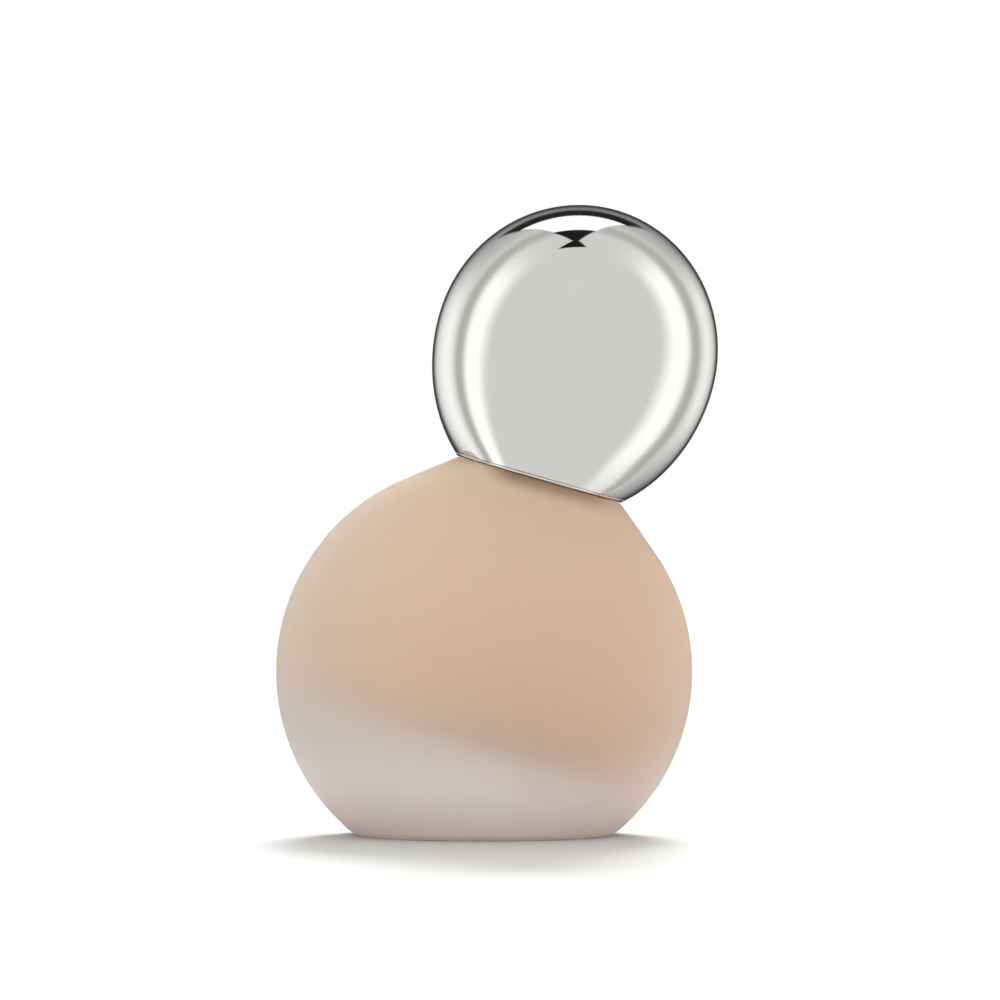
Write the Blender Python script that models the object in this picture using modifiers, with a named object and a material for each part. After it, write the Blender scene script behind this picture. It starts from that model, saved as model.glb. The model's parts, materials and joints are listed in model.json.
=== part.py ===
"""Foundation bottle, 30 ml: two stacked pebbles. The lower one is a thick frosted-glass bottle with a
leaning, threaded neck and a spring pump; the upper one is a mirror-finished pull-off cap.

Axes: +Z up, +X to the right, the front faces -Y, and the origin is the middle of the base.
Every number is in millimetres or degrees until it reaches a mesh, where MM turns it into metres.
Heights called w are measured from the shoulder plane along the neck axis, which leans towards +X.
"""

import math

import bmesh
import bpy
from mathutils import Matrix, Vector

MM = 0.001

# Driving dimensions of the two pebbles
TILT = 16.0  # lean of the neck axis from the vertical
JOIN_R = 13.3  # half width of both pebbles where they meet, and half depth of the cap's foot
SHOULDER_HALF_DEPTH = 12.2  # the cap's foot overhangs the shoulder, front and rear
BODY_R = 32.9  # outline radius of the glass pebble, seen from the front
BODY_CENTRE_Z = 25.8
BODY_CENTRE_W = 31.5  # from the shoulder plane down to the glass pebble's centre
BODY_HALF_DEPTH = 16.2
BASE_HALF_DEPTH = 12.6
BASE_FILLET = 1.0
CAP_HALF_WIDTH = 22.4
CAP_CENTRE_W = 20.9
CAP_RISE = 23.4  # from the widest line to the top
CAP_FALL = 26.0  # from the widest line to where the egg's lower end would be, below the cut foot
CAP_HALF_DEPTH = 14.2
CAP_DEPTH_POWER = 2.8  # above 2, the cap keeps its depth for longer towards its top
CAP_WALL = 1.5
CAP_GAP = 0.3  # between the cap's foot and the shoulder
CAP_SEAM = 0.16  # between the cap's front and rear shells

# The room for the liquid
WALL = 4.2
CAVITY_R = BODY_R - WALL
CAVITY_HALF_DEPTH = 11.6
CAVITY_FLOOR_W = -43.0
CAVITY_CORNER = 5.0
CAVITY_TOP_W = -4.6

# Neck finish 18-400: 8 threads to the inch
NECK_R = 7.85
NECK_THREAD_R = 8.8
NECK_BORE_R = 5.4
NECK_TOP_W = 9.4
PITCH = 3.175
THREAD_TURNS = 1.1
THREAD_START_W = 3.7
THREAD_OVERLAP = 0.3  # how far a ridge's root is sunk into its wall
THREAD_PLAY = 0.35  # the closure's ridge rides this far above the middle of the gap

# Pump levels, in w
GASKET_W = (9.5, 10.4)
FLANGE_W = (10.5, 11.7)
GUIDE_FLANGE_W = (11.8, 12.5)
CLOSURE_PLATE_W = (12.6, 13.7)
COLLAR_TOP_W = 14.2
TURRET_TOP_W = 19.2
PRESS_TRAVEL = 3.5
SKIRT_BOTTOM_W = COLLAR_TOP_W + PRESS_TRAVEL + 0.4
CEILING_W = TURRET_TOP_W + PRESS_TRAVEL + 0.4
ACTUATOR_TOP_W = 26.8
NOZZLE_W = 24.6
NOZZLE_REACH = 9.2

# Pump radii
BARREL_R = 4.3
BARREL_BORE_R = 3.4
STEM_R = 1.8
STEM_BORE_R = 0.95
TUBE_R = 1.65
TUBE_WALL = 0.5
BALL_R = 1.2
CLOSURE_R = 10.25
CLOSURE_BORE_R = 9.05
COLLAR_R = 10.75
COLLAR_WALL = 0.35
ACTUATOR_R = 6.9
ACTUATOR_SHELL_R = 7.4

# The spring and the ball's seat, in the barrel's foot
SPRING_LEDGE_W = -2.6
SPRING_TOP_W = 4.0
SPRING_R = 2.75
SPRING_WIRE_R = 0.22
SPRING_TURNS = 6
SEAT_APEX_W = -7.1  # where the 45 degree seat cone would come to a point
SEAT_GAP = 0.07

# The cap's core
CUP_R = 11.7
CUP_BORE_R = 10.95
CUP_CEILING_W = 30.2
CUP_TOP_W = 31.3
WEB_HALF_THICKNESS = 0.6
RING_TOP_W = 1.1
RING_HOLE_R = 11.85

SEGMENTS = 36  # around the pebbles and the neck
SMALL_SEGMENTS = 24  # around the pump's inner pieces

AXIS_LEAN = math.radians(TILT)
AXIS = Vector((math.sin(AXIS_LEAN), 0, math.cos(AXIS_LEAN)))
ACROSS = Vector((math.cos(AXIS_LEAN), 0, -math.sin(AXIS_LEAN)))
SHOULDER = Vector((0, 0, BODY_CENTRE_Z)) + BODY_CENTRE_W * AXIS

COLOURS = {
    "frosted_glass": ((0.86, 0.76, 0.68, 1), 0.45, 0.0),
    "mirror_silver": ((0.80, 0.80, 0.79, 1), 0.04, 1.0),
    "brushed_aluminium": ((0.78, 0.78, 0.78, 1), 0.22, 1.0),
    "white_plastic": ((0.88, 0.87, 0.84, 1), 0.35, 0.0),
    "natural_plastic": ((0.80, 0.80, 0.77, 1), 0.40, 0.0),
    "gasket_foam": ((0.85, 0.85, 0.83, 1), 0.80, 0.0),
    "spring_steel": ((0.60, 0.60, 0.60, 1), 0.25, 1.0),
    "clear_glass": ((0.80, 0.85, 0.85, 1), 0.05, 0.0),
}


# ---------------------------------------------------------------- scene and helpers


def clear_scene():
    for obj in list(bpy.data.objects):
        bpy.data.objects.remove(obj)


def new_collection(name):
    collection = bpy.data.collections.new(name)
    bpy.context.scene.collection.children.link(collection)
    return collection


def make_material(name):
    colour, roughness, metallic = COLOURS[name]
    material = bpy.data.materials.new(name)
    material.use_nodes = True
    shader = material.node_tree.nodes["Principled BSDF"]
    shader.inputs["Base Color"].default_value = colour
    shader.inputs["Roughness"].default_value = roughness
    shader.inputs["Metallic"].default_value = metallic
    return material


def add_object(name, mesh, material=None, parent=None, cutter=False):
    """Links a mesh as an object: a named part, or a hidden cutter or joining piece."""
    obj = bpy.data.objects.new(name, mesh)
    obj.parent = parent
    if cutter:
        obj.hide_render = True
        obj.display_type = "WIRE"
        HELPERS.objects.link(obj)
        return obj
    mesh.materials.append(MATERIALS[material])
    PARTS.objects.link(obj)
    return obj


def finish_mesh(name, bm):
    """Turns a bmesh into a mesh with its faces pointing out, in metres and smooth where it is round."""
    bmesh.ops.recalc_face_normals(bm, faces=bm.faces)
    mesh = bpy.data.meshes.new(name)
    bm.to_mesh(mesh)
    bm.free()
    mesh.transform(Matrix.Scale(MM, 4))
    mesh.shade_smooth()
    mesh.set_sharp_from_angle(angle=math.radians(35))
    return mesh


def loft_mesh(name, rings, wrap=False):
    """Joins rings of equally many points in order. Its ends are filled, or joined to each other by wrap."""
    bm = bmesh.new()
    loops = [[bm.verts.new(p) for p in ring] for ring in rings]
    pairs = list(zip(loops, loops[1:]))
    if wrap:
        pairs.append((loops[-1], loops[0]))
    else:
        bm.faces.new(loops[0])
        bm.faces.new(loops[-1])
    for low, high in pairs:
        for i in range(len(low)):
            j = (i + 1) % len(low)
            bm.faces.new((low[i], low[j], high[j], high[i]))
    return finish_mesh(name, bm)


def oval(centre, across, half_width, half_depth, power=2.0, count=None):
    """A superellipse of points round centre, half_width along across and half_depth along Y."""
    count = count or SEGMENTS
    points = []
    for i in range(count):
        angle = 2 * math.pi * i / count
        c = math.cos(angle)
        s = math.sin(angle)
        x = half_width * math.copysign(abs(c) ** (2 / power), c)
        y = half_depth * math.copysign(abs(s) ** (2 / power), s)
        points.append(centre + x * across + Vector((0, y, 0)))
    return points


def local_oval(w, half_width, half_depth, count=None):
    """An oval square to the neck axis, in the neck's own frame."""
    return oval(Vector((0, 0, w)), Vector((1, 0, 0)), half_width, half_depth, 2.0, count)


def turned(name, profile, material, parent, segments=SMALL_SEGMENTS, cutter=False):
    """Turns a profile of (radius, w) about the parent's Z axis.
    It runs down the outer side and up the inner one; where both its ends lie on the axis it stays open there."""
    on_axis = profile[0][0] == 0 and profile[-1][0] == 0
    bm = bmesh.new()
    verts = [bm.verts.new((r * MM, 0, w * MM)) for r, w in profile]
    for a, b in zip(verts, verts[1:]):
        bm.edges.new((a, b))
    if not on_axis:
        bm.edges.new((verts[-1], verts[0]))
    mesh = bpy.data.meshes.new(name)
    bm.to_mesh(mesh)
    bm.free()
    obj = add_object(name, mesh, material, parent, cutter)
    screw = obj.modifiers.new("Turn", "SCREW")
    screw.axis = "Z"
    screw.steps = segments
    screw.render_steps = segments
    screw.use_merge_vertices = True
    screw.merge_threshold = 0.00001
    screw.use_smooth_shade = True
    return obj


def rod(name, radius, start, end, parent, segments=16):
    """A hidden cylinder between two points, for cutting or joining."""
    start = Vector(start)
    end = Vector(end)
    bm = bmesh.new()
    bmesh.ops.create_cone(
        bm,
        cap_ends=True,
        segments=segments,
        radius1=radius,
        radius2=radius,
        depth=(end - start).length,
    )
    turn = (end - start).to_track_quat("Z", "Y").to_matrix().to_4x4()
    bm.transform(Matrix.Translation((start + end) / 2) @ turn)
    return add_object(name, finish_mesh(name, bm), parent=parent, cutter=True)


def boolean(obj, other, operation):
    modifier = obj.modifiers.new(operation.title() + " " + other.name, "BOOLEAN")
    modifier.operation = operation
    modifier.solver = "EXACT"
    modifier.object = other


# ---------------------------------------------------------------- the pebbles' outlines


def body_half_width(below):
    """Half width of the glass pebble, this far below the shoulder plane.
    Its sides run straight from the shoulder's edge until they touch its circle."""
    corner = math.hypot(BODY_CENTRE_W, JOIN_R)
    touch = math.atan2(JOIN_R, BODY_CENTRE_W) + math.acos(BODY_R / corner)
    touch_depth = BODY_CENTRE_W - BODY_R * math.cos(touch)
    if below < touch_depth:
        return JOIN_R + (BODY_R * math.sin(touch) - JOIN_R) * below / touch_depth
    return math.sqrt(max(0.0, BODY_R**2 - (below - BODY_CENTRE_W) ** 2))


def cap_half_width(w, inset=0.0):
    """Half width of the cap's egg outline, or of one drawn inside it by an inset."""
    rise = (CAP_RISE if w > CAP_CENTRE_W else CAP_FALL) - inset
    share = (w - CAP_CENTRE_W) / rise
    return (CAP_HALF_WIDTH - inset) * math.sqrt(max(0.0, 1 - share**2))


def cap_half_depth(w):
    """Half depth of the cap: nearly even below its centre, and rounded off above it."""
    if w < CAP_CENTRE_W:
        share = 1 - w / CAP_CENTRE_W
        return CAP_HALF_DEPTH - (CAP_HALF_DEPTH - JOIN_R) * share**2
    share = (w - CAP_CENTRE_W) / CAP_RISE
    return CAP_HALF_DEPTH * math.sqrt(max(0.0, 1 - share**CAP_DEPTH_POWER))


def inside_body(x, z):
    """True if a point of the middle plane lies inside the glass pebble's front outline, or above its top."""
    offset = Vector((x, 0, z)) - SHOULDER
    below = -offset.dot(AXIS)
    if below < 0:
        return abs(offset.dot(ACROSS)) < JOIN_R
    return abs(offset.dot(ACROSS)) < body_half_width(below)


def body_section(share):
    """Centre, across direction, half width and half depth of a section, from the base at 0 to the shoulder at 1.
    The section planes turn from level to square with the neck axis about one line, far to the right."""
    hinge = Vector((SHOULDER.x + SHOULDER.z / math.tan(AXIS_LEAN), 0, 0))
    angle = AXIS_LEAN * share
    along = Vector((-math.cos(angle), 0, math.sin(angle)))
    middle = (hinge - Vector((0, 0, BODY_CENTRE_Z))).length
    ends = []
    for outside in (middle - 2 * BODY_R, middle + 2 * BODY_R):
        inner = middle
        outer = outside
        for _ in range(40):
            tried = (inner + outer) / 2
            point = hinge + tried * along
            if inside_body(point.x, point.z):
                inner = tried
            else:
                outer = tried
        ends.append(inner)
    near, far = ends
    widest = 0.46
    if share < widest:
        fall = 1 - (BASE_HALF_DEPTH / BODY_HALF_DEPTH) ** 2
        offset = (widest - share) / widest
    else:
        fall = 1 - (SHOULDER_HALF_DEPTH / BODY_HALF_DEPTH) ** 2
        offset = (share - widest) / (1 - widest)
    half_depth = BODY_HALF_DEPTH * math.sqrt(1 - fall * offset**2)
    return hinge + (near + far) / 2 * along, -along, (far - near) / 2, half_depth


def cavity_section(w):
    """Half width and half depth of the room for the liquid, square to the neck axis."""
    share = abs(w + BODY_CENTRE_W) / CAVITY_R
    half_width = CAVITY_R * math.sqrt(1 - share**2)
    half_depth = CAVITY_HALF_DEPTH * math.sqrt(1 - share**3)
    above_floor = w - CAVITY_FLOOR_W
    if above_floor < CAVITY_CORNER:
        inset = CAVITY_CORNER - math.sqrt(CAVITY_CORNER**2 - (CAVITY_CORNER - above_floor) ** 2)
        half_width -= inset
        half_depth -= inset
    return max(half_width, NECK_BORE_R), max(half_depth, NECK_BORE_R)


# ---------------------------------------------------------------- glass bottle


def thread_mesh(name, wall_r, crest_r, root_width, crest_width, start_w):
    """A right-handed ridge round the neck axis, sunk a little into its wall and faded out at both ends."""
    steps_per_turn = 32
    steps = round(steps_per_turn * THREAD_TURNS)
    fade_steps = 4
    sunk_r = wall_r - math.copysign(THREAD_OVERLAP, crest_r - wall_r)
    rings = []
    for i in range(steps + 1):
        angle = 2 * math.pi * i / steps_per_turn
        w = start_w + PITCH * i / steps_per_turn
        full = min(1.0, (min(i, steps - i) + 0.6) / fade_steps)
        top_r = wall_r + (crest_r - wall_r) * full
        root = root_width / 2 * (0.4 + 0.6 * full)
        crest = crest_width / 2 * (0.4 + 0.6 * full)
        corners = [(sunk_r, w - root), (top_r, w - crest), (top_r, w + crest), (sunk_r, w + root)]
        rings.append([Vector((r * math.cos(angle), r * math.sin(angle), h)) for r, h in corners])
    return loft_mesh(name, rings)


def make_bottle(axis_empty):
    """One closed loft: base, pebble, shoulder and neck outside, then the bore and the room for the liquid."""
    rings = []
    for step in range(3):
        angle = math.pi / 2 * step / 2
        level = BASE_FILLET * (1 - math.cos(angle))
        inset = BASE_FILLET * (1 - math.sin(angle))
        centre, across, half_width, half_depth = body_section(0)
        rise = disc_rise(level)
        low = Vector((centre.x, 0, level))
        rings.append(oval(low, across, half_width + rise - inset, half_depth + rise * 0.6 - inset))
    for share in (0.08, 0.16, 0.25, 0.34, 0.43, 0.52, 0.61, 0.7, 0.78, 0.86, 0.93, 0.985):
        centre, across, half_width, half_depth = body_section(share)
        power = 2 + 0.18 * math.sin(math.pi * share)
        rings.append(oval(centre, across, half_width, half_depth, power))
    rings.append(oval(SHOULDER, ACROSS, JOIN_R - 0.35, SHOULDER_HALF_DEPTH - 0.35))
    outer_neck = (
        (NECK_R + 0.5, 0.0),
        (NECK_R, 0.5),
        (NECK_R, NECK_TOP_W - 0.4),
        (NECK_R - 0.4, NECK_TOP_W),
        (NECK_BORE_R + 0.3, NECK_TOP_W),
        (NECK_BORE_R, NECK_TOP_W - 0.3),
    )
    for radius, w in outer_neck:
        rings.append(oval(SHOULDER + w * AXIS, ACROSS, radius, radius))
    levels = [-3.4, CAVITY_TOP_W, -6.2, -9, -13, -18, -24, -30, -35]
    levels += [-38.5, -40.7, -42.4, CAVITY_FLOOR_W]
    for w in levels:
        half_width, half_depth = cavity_section(w)
        if w > CAVITY_TOP_W:
            half_width = half_depth = NECK_BORE_R
        rings.append(oval(SHOULDER + w * AXIS, ACROSS, half_width, half_depth))
    bottle = add_object("glass_bottle", loft_mesh("glass_bottle", rings), "frosted_glass")
    ridge = thread_mesh("neck_thread", NECK_R, NECK_THREAD_R, 1.7, 0.7, THREAD_START_W)
    boolean(bottle, add_object("neck_thread", ridge, parent=axis_empty, cutter=True), "UNION")
    return bottle


def disc_rise(level):
    """How much the front outline widens on each side between the base and a level just above it."""
    low = math.sqrt(BODY_R**2 - BODY_CENTRE_Z**2)
    high = math.sqrt(BODY_R**2 - (BODY_CENTRE_Z - level) ** 2)
    return high - low


# ---------------------------------------------------------------- closure and collar


def make_closure(parent):
    """The threaded plastic ring that holds the pump's flange down on the neck."""
    low, high = CLOSURE_PLATE_W
    profile = [
        (CLOSURE_R - 0.4, high),
        (CLOSURE_R, high - 0.4),
        (CLOSURE_R, 0.9),
        (CLOSURE_BORE_R + 0.2, 0.9),
        (CLOSURE_BORE_R, 1.1),
        (CLOSURE_BORE_R, low),
        (6.1, low),
        (6.1, high),
    ]
    closure = turned("screw_closure", profile, "white_plastic", parent, SEGMENTS)
    start = THREAD_START_W - PITCH / 2 + THREAD_PLAY
    ridge = thread_mesh("closure_thread", CLOSURE_BORE_R, 8.25, 1.2, 0.6, start)
    boolean(closure, add_object("closure_thread", ridge, parent=parent, cutter=True), "UNION")


def make_collar(parent):
    """The aluminium sleeve pressed over the closure, with a rolled top edge and a hemmed foot."""
    inner = COLLAR_R - COLLAR_WALL
    top = COLLAR_TOP_W
    profile = [
        (COLLAR_R - 0.5, top),
        (COLLAR_R - 0.15, top - 0.15),
        (COLLAR_R, top - 0.5),
        (COLLAR_R, 0.9),
        (COLLAR_R - 0.12, 0.7),
        (inner, 0.7),
        (inner, top - 0.4),
        (6.3, top - 0.4),
        (6.3, top),
    ]
    turned("collar_shell", profile, "brushed_aluminium", parent, SEGMENTS)


# ---------------------------------------------------------------- pump


def make_gasket(parent):
    low, high = GASKET_W
    profile = [(8.2, high), (8.2, low), (4.6, low), (4.6, high)]
    turned("neck_gasket", profile, "gasket_foam", parent)


def make_housing(parent):
    """The pump's barrel: a flange on the neck, the cylinder, the ball's seat and the tube's socket."""
    low, high = FLANGE_W
    chamber_r = 2.0
    profile = [
        (8.2, high),
        (8.2, low),
        (BARREL_R, low),
        (BARREL_R, -3.6),
        (3.0, -5.6),
        (3.0, -12.0),
        (2.0, -12.0),
        (1.8, -11.6),
        (1.8, -7.5),
        (0.7, -7.5),
        (0.7, SEAT_APEX_W + 0.7),
        (chamber_r, SEAT_APEX_W + chamber_r),
        (chamber_r, SPRING_LEDGE_W),
        (BARREL_BORE_R, SPRING_LEDGE_W),
        (BARREL_BORE_R, high),
    ]
    turned("pump_housing", profile, "natural_plastic", parent)


def make_stem_guide(parent):
    """Snaps into the barrel, guides the stem, and rises as the turret that the actuator slides over."""
    low, high = GUIDE_FLANGE_W
    floor = 13.7
    profile = [
        (5.6, TURRET_TOP_W),
        (5.9, TURRET_TOP_W - 0.3),
        (5.9, high),
        (7.6, high),
        (7.6, low),
        (3.3, low),
        (3.3, 8.7),
        (2.4, 8.7),
        (2.4, floor - 1.2),
        (STEM_R + 0.15, floor - 1.2),
        (STEM_R + 0.15, floor),
        (4.9, floor),
        (4.9, TURRET_TOP_W),
    ]
    turned("stem_guide", profile, "white_plastic", parent)


def make_ball(parent):
    centre_w = SEAT_APEX_W + BALL_R * math.sqrt(2) + SEAT_GAP
    bm = bmesh.new()
    bmesh.ops.create_uvsphere(bm, u_segments=16, v_segments=10, radius=BALL_R)
    bmesh.ops.translate(bm, verts=bm.verts, vec=(0, 0, centre_w))
    add_object("check_ball", finish_mesh("check_ball", bm), "clear_glass", parent)


def make_dip_tube(parent):
    """A soft tube that bends with its own set towards the low corner of the floor, where it is cut square."""
    top_w = -7.8
    reach_w = 33.2
    bend = 7.5
    count = 14
    curve = bpy.data.curves.new("dip_tube", "CURVE")
    curve.dimensions = "3D"
    curve.bevel_depth = TUBE_R * MM
    curve.bevel_resolution = 2
    spline = curve.splines.new("POLY")
    spline.points.add(count - 1)
    for i, point in enumerate(spline.points):
        share = i / (count - 1)
        x = bend * max(0.0, share - 0.15) ** 2 / 0.85**2
        point.co = (x * MM, 0, (top_w - reach_w * share) * MM, 1)
    guide = bpy.data.objects.new("dip_tube_path", curve)
    HELPERS.objects.link(guide)
    graph = bpy.context.evaluated_depsgraph_get()
    mesh = bpy.data.meshes.new_from_object(guide.evaluated_get(graph))
    bpy.data.objects.remove(guide)
    mesh.name = "dip_tube"
    tube = add_object("dip_tube", mesh, "natural_plastic", parent)
    solidify = tube.modifiers.new("Wall", "SOLIDIFY")
    solidify.thickness = TUBE_WALL * MM
    solidify.offset = -1


def make_spring(parent):
    """A compression spring with a half turn of flat wire at each end."""
    points_per_turn = 12
    count = SPRING_TURNS * points_per_turn + 1
    low = SPRING_LEDGE_W + 0.3 + SPRING_WIRE_R
    high = SPRING_TOP_W - 0.2 - SPRING_WIRE_R
    curve = bpy.data.curves.new("return_spring", "CURVE")
    curve.dimensions = "3D"
    curve.bevel_depth = SPRING_WIRE_R * MM
    curve.bevel_resolution = 1
    curve.use_fill_caps = True
    spline = curve.splines.new("POLY")
    spline.points.add(count - 1)
    half_turn = points_per_turn // 2
    for i, point in enumerate(spline.points):
        rise = min(max(i - half_turn, 0), count - 1 - 2 * half_turn) / (count - 1 - 2 * half_turn)
        end_lift = 0.35 * (min(i, half_turn) - half_turn) / half_turn
        end_lift += 0.35 * max(0, i - (count - 1 - half_turn)) / half_turn
        w = low + 0.35 + (high - low - 0.7) * rise + end_lift
        angle = 2 * math.pi * i / points_per_turn
        x = SPRING_R * math.cos(angle)
        y = SPRING_R * math.sin(angle)
        point.co = (x * MM, y * MM, w * MM, 1)
    spring = bpy.data.objects.new("return_spring", curve)
    spring.parent = parent
    curve.materials.append(MATERIALS["spring_steel"])
    PARTS.objects.link(spring)


def make_piston(parent):
    """The sliding seal, with a lip at each end."""
    lip = BARREL_BORE_R - 0.08
    waist = lip - 0.45
    bore = STEM_R + 0.15
    profile = [(lip, 8.3), (lip, 7.6), (waist, 7.2), (waist, 6.1), (lip, 5.7), (lip, 5.0)]
    profile += [(bore, 5.0), (bore, 8.3)]
    turned("piston", profile, "natural_plastic", parent)


def make_piston_rod(parent):
    """Carries the spring's top end, and plugs into the stem."""
    seat = SPRING_TOP_W
    spigot = STEM_BORE_R - 0.15
    profile = [(0, 7.5), (spigot, 7.5), (spigot, seat + 0.8), (3.0, seat + 0.8), (3.0, seat)]
    profile += [(1.6, seat), (1.6, 1.0), (1.1, 0.5), (0, 0.5)]
    turned("piston_rod", profile, "natural_plastic", parent)


def make_stem(parent):
    top = 22.5
    low = SPRING_TOP_W + 1.0
    profile = [(STEM_R, top), (STEM_R, low), (STEM_BORE_R, low), (STEM_BORE_R, top)]
    turned("piston_stem", profile, "natural_plastic", parent)


def make_actuator(parent):
    """The finger button with its spout, the metal sleeve round it and the nozzle in the spout."""
    top = ACTUATOR_TOP_W
    boss_r = 3.2
    profile = [
        (0, top - 0.9),
        (2.6, top - 0.75),
        (4.6, top - 0.3),
        (5.7, top),
        (6.5, top - 0.15),
        (ACTUATOR_R, top - 0.6),
        (ACTUATOR_R, SKIRT_BOTTOM_W + 0.1),
        (6.3, SKIRT_BOTTOM_W + 0.1),
        (6.3, CEILING_W),
        (boss_r, CEILING_W),
        (boss_r, 17.6),
        (STEM_R + 0.1, 17.6),
        (STEM_R + 0.1, 22.8),
        (0, 22.8),
    ]
    button = turned("actuator_button", profile, "white_plastic", parent)
    tip = -NOZZLE_REACH
    spout = rod("spout", 1.7, (0, -5.6, NOZZLE_W), (0, tip, NOZZLE_W), parent)
    boolean(button, spout, "UNION")
    riser = rod("channel_riser", 0.55, (0, 0, 22.0), (0, 0, NOZZLE_W + 0.2), parent, 12)
    run = rod("channel_run", 0.7, (0, 0.6, NOZZLE_W), (0, tip - 1, NOZZLE_W), parent, 12)
    mouth = rod("spout_mouth", 1.2, (0, tip + 1.6, NOZZLE_W), (0, tip - 1, NOZZLE_W), parent)
    for cutter in (riser, run, mouth):
        boolean(button, cutter, "DIFFERENCE")

    sleeve_bore = ACTUATOR_R + 0.15
    profile = [
        (ACTUATOR_SHELL_R - 0.1, top - 0.8),
        (ACTUATOR_SHELL_R, top - 0.95),
        (ACTUATOR_SHELL_R, SKIRT_BOTTOM_W),
        (sleeve_bore, SKIRT_BOTTOM_W),
        (sleeve_bore, top - 0.8),
    ]
    sleeve = turned("actuator_sleeve", profile, "brushed_aluminium", parent, 36)
    window = rod("sleeve_window", 1.9, (0, -4, NOZZLE_W), (0, -9, NOZZLE_W), parent, 20)
    boolean(sleeve, window, "DIFFERENCE")

    insert = bpy.data.objects.new("nozzle_axis", None)
    insert.parent = parent
    insert.location = Vector((0, tip, NOZZLE_W)) * MM
    insert.rotation_euler = (math.radians(90), 0, 0)
    PARTS.objects.link(insert)
    profile = [(0.75, 0.25), (1.05, 0.0), (1.05, -1.4), (0.45, -1.4), (0.45, 0.25)]
    turned("nozzle_insert", profile, "white_plastic", insert, 20)


# ---------------------------------------------------------------- cap


def cap_rings(levels):
    """The cap's outer sections, square to the neck axis."""
    rings = []
    for w in levels:
        rings.append(local_oval(w, cap_half_width(w), cap_half_depth(w)))
    return rings


def make_cap_shells(parent):
    """One hollow pebble, open at its foot, cut into a front and a rear shell along its widest line."""
    foot = RING_TOP_W + 0.12
    top = CAP_CENTRE_W + CAP_RISE
    levels = [foot, 5, 9.5, 14.5, 19.5, 24.5, 29, 32.8, 36, 38.7, 41, 42.7, 43.8]
    for name, side in (("cap_front_shell", -1), ("cap_rear_shell", 1)):
        bm = bmesh.new()
        loops = [[bm.verts.new(p) for p in ring] for ring in cap_rings(levels)]
        for low, high in zip(loops, loops[1:]):
            for i in range(SEGMENTS):
                j = (i + 1) % SEGMENTS
                bm.faces.new((low[i], low[j], high[j], high[i]))
        pole = bm.verts.new((0, 0, top))
        for i in range(SEGMENTS):
            bm.faces.new((loops[-1][i], loops[-1][(i + 1) % SEGMENTS], pole))
        shell = add_object(name, finish_mesh(name, bm), "mirror_silver", parent)
        solidify = shell.modifiers.new("Wall", "SOLIDIFY")
        solidify.thickness = CAP_WALL * MM
        solidify.offset = -1
        solidify.use_even_offset = True
        bm = bmesh.new()
        bmesh.ops.create_cube(bm, size=1)
        depth = 40.0
        bm.transform(Matrix.Diagonal((80, depth, 80, 1)))
        shift = -side * (depth - CAP_SEAM) / 2
        bmesh.ops.translate(bm, verts=bm.verts, vec=(0, shift, CAP_CENTRE_W))
        mesh = finish_mesh(name + "_half", bm)
        half = add_object(name + "_half", mesh, parent=parent, cutter=True)
        boolean(shell, half, "DIFFERENCE")


def make_cap_base_ring(parent):
    """The bright foot ring that closes the shells and meets the bottle's shoulder."""
    rings = [local_oval(w, RING_HOLE_R, RING_HOLE_R) for w in (RING_TOP_W, CAP_GAP)]
    foot = CAP_GAP + 0.15
    for w, inset in ((CAP_GAP, 0.2), (foot, 0.0), (RING_TOP_W, 0.0)):
        rings.append(local_oval(w, cap_half_width(w) - inset, cap_half_depth(w) - inset))
    add_object("cap_base_ring", loft_mesh("cap_base_ring", rings, wrap=True), "mirror_silver", parent)


def make_cap_core(parent):
    """The moulded core inside the shells: a cup that slides over the collar, and a web that locates the shells."""
    profile = [
        (0, CUP_TOP_W),
        (10.3, CUP_TOP_W),
        (CUP_R, 28.6),
        (CUP_R, CAP_GAP + 0.1),
        (0, CAP_GAP + 0.1),
    ]
    core = turned("cap_core", profile, "white_plastic", parent, SEGMENTS)
    levels = [3.5, 7, 11, 16, 21, 26, 30, 34, 37, 39.5, 41.2]
    right = [(cap_half_width(w, CAP_WALL + 0.6), w) for w in levels]
    outline = right + [(-x, w) for x, w in reversed(right)]
    rings = [[Vector((x, y, w)) for x, w in outline] for y in (-WEB_HALF_THICKNESS, WEB_HALF_THICKNESS)]
    web = add_object("core_web", loft_mesh("core_web", rings), parent=parent, cutter=True)
    boolean(core, web, "UNION")
    bead = CUP_BORE_R - 0.1
    profile = [
        (0, CUP_CEILING_W),
        (9.7, CUP_CEILING_W),
        (CUP_BORE_R, 28.4),
        (CUP_BORE_R, 3.4),
        (bead, 3.1),
        (bead, 2.5),
        (CUP_BORE_R, 2.2),
        (CUP_BORE_R, 0.7),
        (CUP_BORE_R + 0.3, 0.3),
        (CUP_BORE_R + 0.3, -1.0),
        (0, -1.0),
    ]
    bore = turned("cup_bore", profile, None, parent, SEGMENTS, cutter=True)
    boolean(core, bore, "DIFFERENCE")


# ---------------------------------------------------------------- assembly


def make_axis_empty(name):
    """An empty at the shoulder, with its Z along the neck axis."""
    empty = bpy.data.objects.new(name, None)
    empty.location = SHOULDER * MM
    empty.rotation_euler = (0, AXIS_LEAN, 0)
    PARTS.objects.link(empty)
    return empty


def make_all():
    axis_empty = make_axis_empty("neck_axis")
    pump_axis = make_axis_empty("pump_axis")
    cap_axis = make_axis_empty("cap_axis")
    make_bottle(axis_empty)
    make_closure(axis_empty)
    make_collar(axis_empty)
    make_gasket(pump_axis)
    make_housing(pump_axis)
    make_stem_guide(pump_axis)
    make_ball(pump_axis)
    make_dip_tube(pump_axis)
    make_spring(pump_axis)
    make_piston(pump_axis)
    make_piston_rod(pump_axis)
    make_stem(pump_axis)
    make_actuator(pump_axis)
    make_cap_shells(cap_axis)
    make_cap_base_ring(cap_axis)
    make_cap_core(cap_axis)


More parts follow.
